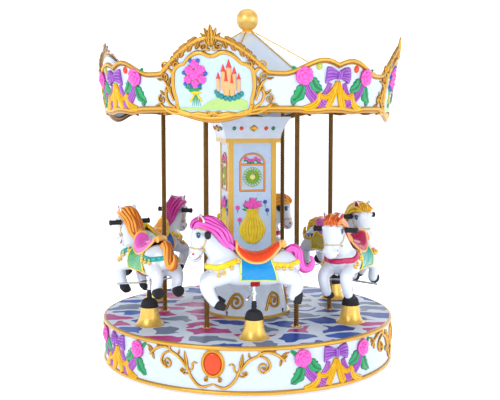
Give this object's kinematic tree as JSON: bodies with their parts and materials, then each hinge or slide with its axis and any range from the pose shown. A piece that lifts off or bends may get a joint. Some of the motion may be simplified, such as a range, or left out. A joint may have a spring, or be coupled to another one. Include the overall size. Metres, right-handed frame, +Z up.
{
  "type": "carousel",
  "caption": "Small merry go round: a turning deck, square column and wavy canopy on a fixed chassis, with horses that rise and fall on steel rods.",
  "frame": {"origin": "on the ground under the centre spindle", "axes": "+Z up along the axis of turning; -Y towards the front horse, which faces -X"},
  "size_m": [2.2058, 2.2058, 2.639],
  "materials": {
    "painted_steel": "satin",
    "galvanised_steel": "satin",
    "white_fibreglass": "gloss",
    "gold_paint": "satin",
    "gold_fibreglass": "gloss",
    "red_gem": "gloss",
    "black_rubber": "matt",
    "bronze": "satin",
    "blue_enamel": "gloss",
    "grey_enamel": "satin",
    "brass_pole": "gloss",
    "polished_steel": "gloss",
    "horse_fibreglass": "gloss"
  },
  "bodies": {
    "chassis": {"chassis_frame": "painted_steel", "levelling_feet": "black_rubber", "centre_spindle": "galvanised_steel", "roller_brackets": "painted_steel", "gearmotor": "blue_enamel", "control_box": "grey_enamel"},
    "turntable": {"bearing_hub": "painted_steel", "deck_frame": "painted_steel", "runner_ring": "galvanised_steel", "deck": "white_fibreglass", "skirt": "white_fibreglass", "top_trim": "gold_fibreglass", "bottom_trim": "gold_fibreglass", "gem_frames": "gold_fibreglass", "gems": "red_gem", "column_base": "white_fibreglass", "mast": "painted_steel", "column_shell": "white_fibreglass", "column_strips": "gold_paint", "column_mouldings": "gold_fibreglass", "cornice": "white_fibreglass", "canopy_poles": "brass_pole", "pole_flanges": "brass_pole", "canopy_hub": "painted_steel", "canopy_mid_ring": "painted_steel", "canopy_eave_ring": "painted_steel", "canopy_spokes": "painted_steel", "canopy_fascia": "white_fibreglass", "roof_cone": "white_fibreglass", "roof_ribs": "gold_paint", "finial": "gold_paint", "pedestals": "gold_fibreglass", "rod_bushes": "bronze", "lift_cylinders": "galvanised_steel", "boot_1": "black_rubber", "boot_2": "black_rubber", "boot_3": "black_rubber", "boot_4": "black_rubber", "boot_5": "black_rubber", "boot_6": "black_rubber"},
    "drive_wheel": {"drive_wheel": "black_rubber"},
    "support_roller_1": {"support_roller_1": "black_rubber"},
    "support_roller_2": {"support_roller_2": "black_rubber"},
    "support_roller_3": {"support_roller_3": "black_rubber"},
    "mount_1": {"horse_1": "horse_fibreglass", "rod_1": "polished_steel"},
    "mount_2": {"horse_2": "horse_fibreglass", "rod_2": "polished_steel"},
    "mount_3": {"horse_3": "horse_fibreglass", "rod_3": "polished_steel"},
    "mount_4": {"horse_4": "horse_fibreglass", "rod_4": "polished_steel"},
    "mount_5": {"horse_5": "horse_fibreglass", "rod_5": "polished_steel"},
    "mount_6": {"horse_6": "horse_fibreglass", "rod_6": "polished_steel"}
  },
  "joints": [
    {"name": "turntable_spin", "type": "hinge", "parent": "chassis", "child": "turntable", "pos_m": [0, 0, 0.2], "axis": [0, 0, 1], "continuous": true},
    {"name": "drive_wheel_spin", "type": "hinge", "parent": "chassis", "child": "drive_wheel", "pos_m": [0.4597, 0, 0.245], "axis": [0, 0, 1], "continuous": true},
    {"name": "support_roller_1_spin", "type": "hinge", "parent": "chassis", "child": "support_roller_1", "pos_m": [0.28, -0.48497, 0.1697], "axis": [0.5, -0.866, 0], "continuous": true},
    {"name": "support_roller_2_spin", "type": "hinge", "parent": "chassis", "child": "support_roller_2", "pos_m": [0.28, 0.48497, 0.1697], "axis": [0.5, 0.866, 0], "continuous": true},
    {"name": "support_roller_3_spin", "type": "hinge", "parent": "chassis", "child": "support_roller_3", "pos_m": [-0.56, 0, 0.1697], "axis": [-1, 0, 0], "continuous": true},
    {"name": "horse_1_lift", "type": "slide", "parent": "turntable", "child": "mount_1", "axis": [0, 0, 1], "range_m": [0, 0.06], "deforming": ["boot_1"]},
    {"name": "horse_2_lift", "type": "slide", "parent": "turntable", "child": "mount_2", "axis": [0, 0, 1], "range_m": [0, 0.06], "deforming": ["boot_2"]},
    {"name": "horse_3_lift", "type": "slide", "parent": "turntable", "child": "mount_3", "axis": [0, 0, 1], "range_m": [0, 0.06], "deforming": ["boot_3"]},
    {"name": "horse_4_lift", "type": "slide", "parent": "turntable", "child": "mount_4", "axis": [0, 0, 1], "range_m": [0, 0.06], "deforming": ["boot_4"]},
    {"name": "horse_5_lift", "type": "slide", "parent": "turntable", "child": "mount_5", "axis": [0, 0, 1], "range_m": [0, 0.06], "deforming": ["boot_5"]},
    {"name": "horse_6_lift", "type": "slide", "parent": "turntable", "child": "mount_6", "axis": [0, 0, 1], "range_m": [0, 0.06], "deforming": ["boot_6"]}
  ],
  "couplings": [
    {"joint": "drive_wheel_spin", "follows": "turntable_spin", "ratio": 8.6667},
    {"joint": "support_roller_1_spin", "follows": "turntable_spin", "ratio": -16},
    {"joint": "support_roller_2_spin", "follows": "turntable_spin", "ratio": -16},
    {"joint": "support_roller_3_spin", "follows": "turntable_spin", "ratio": -16}
  ]
}
